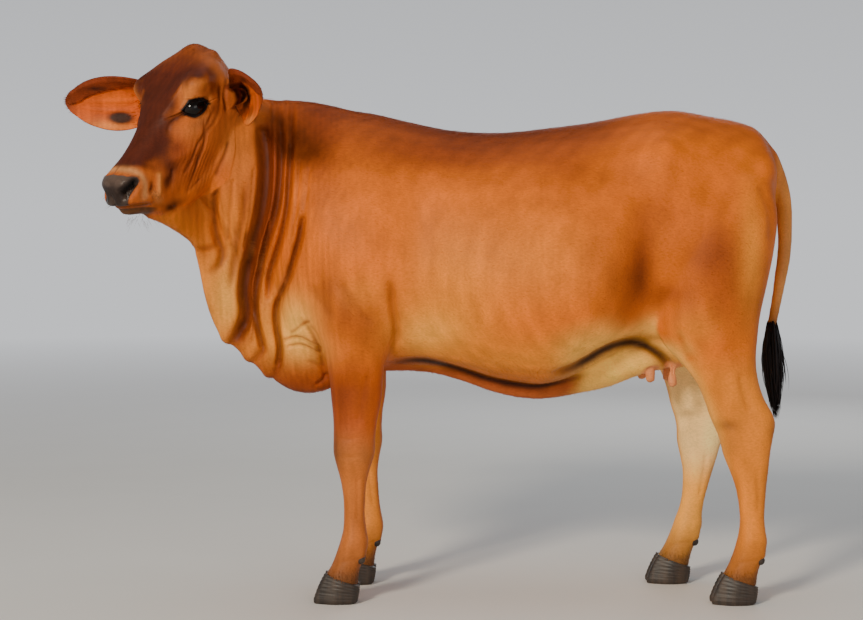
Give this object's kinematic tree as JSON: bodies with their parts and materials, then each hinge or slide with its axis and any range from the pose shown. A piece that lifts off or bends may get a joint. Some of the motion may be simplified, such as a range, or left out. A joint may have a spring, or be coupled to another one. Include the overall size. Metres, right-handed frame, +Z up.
{
  "type": "cattle heifer",
  "caption": "Standing red-brown heifer, a Jersey and Brahman cross, with dewlap, large ears and head turned to its left.",
  "frame": {"origin": "on the ground, under the middle of the whole animal's box", "axes": "+Z up, -X towards the front of the animal along its back, -Y to the animal's left"},
  "size_m": [1.8536, 0.7144, 1.3949],
  "materials": {
    "hide": "short flat red-brown fur",
    "dark_hair": "long dark brown hair",
    "horn": "dark worn horn",
    "eye": "wet and black"
  },
  "bodies": {
    "root": {"head": "hide", "neck": "hide", "torso": "hide", "foreleg_left_upper": "hide", "foreleg_left_lower": "hide", "foreleg_right_upper": "hide", "foreleg_right_lower": "hide", "hindleg_left_upper": "hide", "hindleg_left_lower": "hide", "hindleg_right_upper": "hide", "hindleg_right_lower": "hide", "ear_left": "hide", "ear_right": "hide", "tail": "hide", "tail_switch": "dark_hair", "eye_left": "eye", "eye_right": "eye", "claw_fore_left_outer": "horn", "claw_fore_left_inner": "horn", "claw_fore_right_outer": "horn", "claw_fore_right_inner": "horn", "claw_hind_left_outer": "horn", "claw_hind_left_inner": "horn", "claw_hind_right_outer": "horn", "claw_hind_right_inner": "horn", "dewclaw_fore_left_outer": "horn", "dewclaw_fore_left_inner": "horn", "dewclaw_fore_right_outer": "horn", "dewclaw_fore_right_inner": "horn", "dewclaw_hind_left_outer": "horn", "dewclaw_hind_left_inner": "horn", "dewclaw_hind_right_outer": "horn", "dewclaw_hind_right_inner": "horn"}
  },
  "joints": []
}
